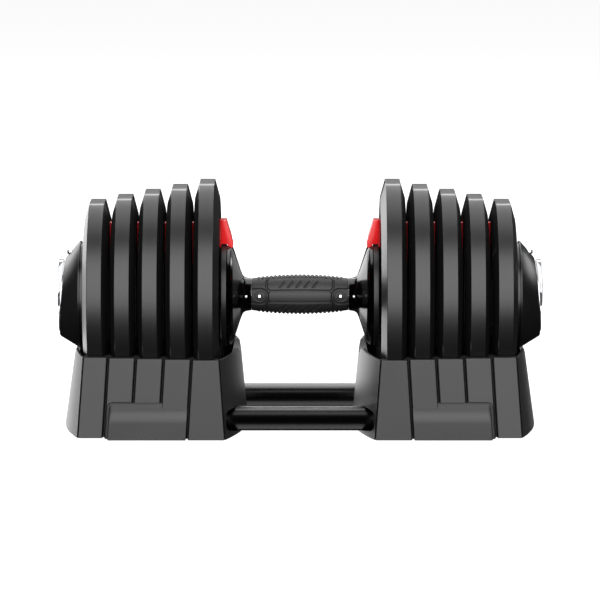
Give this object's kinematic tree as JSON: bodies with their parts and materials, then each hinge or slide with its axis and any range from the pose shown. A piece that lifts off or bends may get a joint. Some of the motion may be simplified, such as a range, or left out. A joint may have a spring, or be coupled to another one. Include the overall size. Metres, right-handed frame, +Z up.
{
  "type": "adjustable dumbbell",
  "caption": "Twist-grip adjustable dumbbell in its storage tray: turning the grip slides selector bars out through the weight plates, and the plates left unpicked stay in the tray.",
  "frame": {"origin": "on the ground, midway between the two ends and between the front and the rear", "axes": "+X along the handle, -Y the front, +Z up"},
  "size_m": [0.4338, 0.2094, 0.2183],
  "materials": {
    "cast_iron_coat": "grey-black baked coat, satin",
    "flange_coat": "grey-black baked coat, satin",
    "red_nylon": "moulded nylon, semi-gloss",
    "tray_plastic": "fine moulded texture, satin",
    "rod_coat": "black gloss coat",
    "foot_rubber": "matte",
    "grip_rubber": "moulded, ribbed, matte",
    "gloss_black": "gloss",
    "clear_lens": "clear plastic, polished",
    "bright_metal": "bright plated",
    "steel": "turned and ground steel"
  },
  "bodies": {
    "tray": {"front_rod": "rod_coat", "rear_rod": "rod_coat", "left_cradle": "tray_plastic", "left_base_plate": "tray_plastic", "left_front_foot": "foot_rubber", "left_front_rod_screw": "bright_metal", "left_rear_foot": "foot_rubber", "left_rear_rod_screw": "bright_metal", "right_cradle": "tray_plastic", "right_base_plate": "tray_plastic", "right_front_foot": "foot_rubber", "right_front_rod_screw": "bright_metal", "right_rear_foot": "foot_rubber", "right_rear_rod_screw": "bright_metal"},
    "handle": {"core_tube": "steel", "left_bell": "gloss_black", "left_flange_disc": "flange_coat", "left_neck_screw": "bright_metal", "left_lock_spring": "steel", "right_bell": "gloss_black", "right_flange_disc": "flange_coat", "right_neck_screw": "bright_metal", "right_lock_spring": "steel"},
    "grip": {"grip_sleeve": "grip_rubber", "drive_sleeve": "steel", "left_grip_screw": "bright_metal", "right_grip_screw": "bright_metal"},
    "left_selector": {"left_selector_bar": "steel", "left_follower_pin": "steel"},
    "left_button": {"left_lock_button": "red_nylon"},
    "left_weight_1": {"left_plate_1": "cast_iron_coat", "left_guide_1": "red_nylon"},
    "left_weight_2": {"left_plate_2": "cast_iron_coat", "left_guide_2": "red_nylon"},
    "left_weight_3": {"left_plate_3": "cast_iron_coat", "left_guide_3": "red_nylon"},
    "left_weight_4": {"left_plate_4": "cast_iron_coat", "left_guide_4": "red_nylon"},
    "left_weight_5": {"left_plate_5": "cast_iron_coat", "left_end_cover": "gloss_black", "left_badge": "bright_metal", "left_lens": "clear_lens", "left_cover_screw": "bright_metal"},
    "right_selector": {"right_selector_bar": "steel", "right_follower_pin": "steel"},
    "right_button": {"right_lock_button": "red_nylon"},
    "right_weight_1": {"right_plate_1": "cast_iron_coat", "right_guide_1": "red_nylon"},
    "right_weight_2": {"right_plate_2": "cast_iron_coat", "right_guide_2": "red_nylon"},
    "right_weight_3": {"right_plate_3": "cast_iron_coat", "right_guide_3": "red_nylon"},
    "right_weight_4": {"right_plate_4": "cast_iron_coat", "right_guide_4": "red_nylon"},
    "right_weight_5": {"right_plate_5": "cast_iron_coat", "right_end_cover": "gloss_black", "right_badge": "bright_metal", "right_lens": "clear_lens", "right_cover_screw": "bright_metal"}
  },
  "joints": [
    {"name": "handle_lift", "type": "slide", "parent": "tray", "child": "handle", "axis": [0, 0, 1], "range_m": [0, 0.24]},
    {"name": "grip_twist", "type": "hinge", "parent": "handle", "child": "grip", "pos_m": [0, 0, 0.1159], "axis": [1, 0, 0], "range_deg": [0, 300]},
    {"name": "left_selector_slide", "type": "slide", "parent": "handle", "child": "left_selector", "axis": [-1, 0, 0], "range_m": [0, 0.123]},
    {"name": "left_lock_press", "type": "slide", "parent": "handle", "child": "left_button", "axis": [0, 0, -1], "range_m": [0, 0.004], "stiffness_N_per_m": 900, "springref_m": -0.004, "deforming": ["left_lock_spring"]},
    {"name": "left_weight_1_lift", "type": "slide", "parent": "tray", "child": "left_weight_1", "axis": [0, 0, 1], "range_m": [0, 0.24]},
    {"name": "left_weight_2_lift", "type": "slide", "parent": "tray", "child": "left_weight_2", "axis": [0, 0, 1], "range_m": [0, 0.24]},
    {"name": "left_weight_3_lift", "type": "slide", "parent": "tray", "child": "left_weight_3", "axis": [0, 0, 1], "range_m": [0, 0.24]},
    {"name": "left_weight_4_lift", "type": "slide", "parent": "tray", "child": "left_weight_4", "axis": [0, 0, 1], "range_m": [0, 0.24]},
    {"name": "left_weight_5_lift", "type": "slide", "parent": "tray", "child": "left_weight_5", "axis": [0, 0, 1], "range_m": [0, 0.24]},
    {"name": "right_selector_slide", "type": "slide", "parent": "handle", "child": "right_selector", "axis": [1, 0, 0], "range_m": [0, 0.123]},
    {"name": "right_lock_press", "type": "slide", "parent": "handle", "child": "right_button", "axis": [0, 0, -1], "range_m": [0, 0.004], "stiffness_N_per_m": 900, "springref_m": -0.004, "deforming": ["right_lock_spring"]},
    {"name": "right_weight_1_lift", "type": "slide", "parent": "tray", "child": "right_weight_1", "axis": [0, 0, 1], "range_m": [0, 0.24]},
    {"name": "right_weight_2_lift", "type": "slide", "parent": "tray", "child": "right_weight_2", "axis": [0, 0, 1], "range_m": [0, 0.24]},
    {"name": "right_weight_3_lift", "type": "slide", "parent": "tray", "child": "right_weight_3", "axis": [0, 0, 1], "range_m": [0, 0.24]},
    {"name": "right_weight_4_lift", "type": "slide", "parent": "tray", "child": "right_weight_4", "axis": [0, 0, 1], "range_m": [0, 0.24]},
    {"name": "right_weight_5_lift", "type": "slide", "parent": "tray", "child": "right_weight_5", "axis": [0, 0, 1], "range_m": [0, 0.24]}
  ],
  "couplings": [
    {"joint": "left_selector_slide", "follows": "grip_twist", "m_per_rad": 0.02349},
    {"joint": "right_selector_slide", "follows": "grip_twist", "m_per_rad": 0.02349}
  ]
}
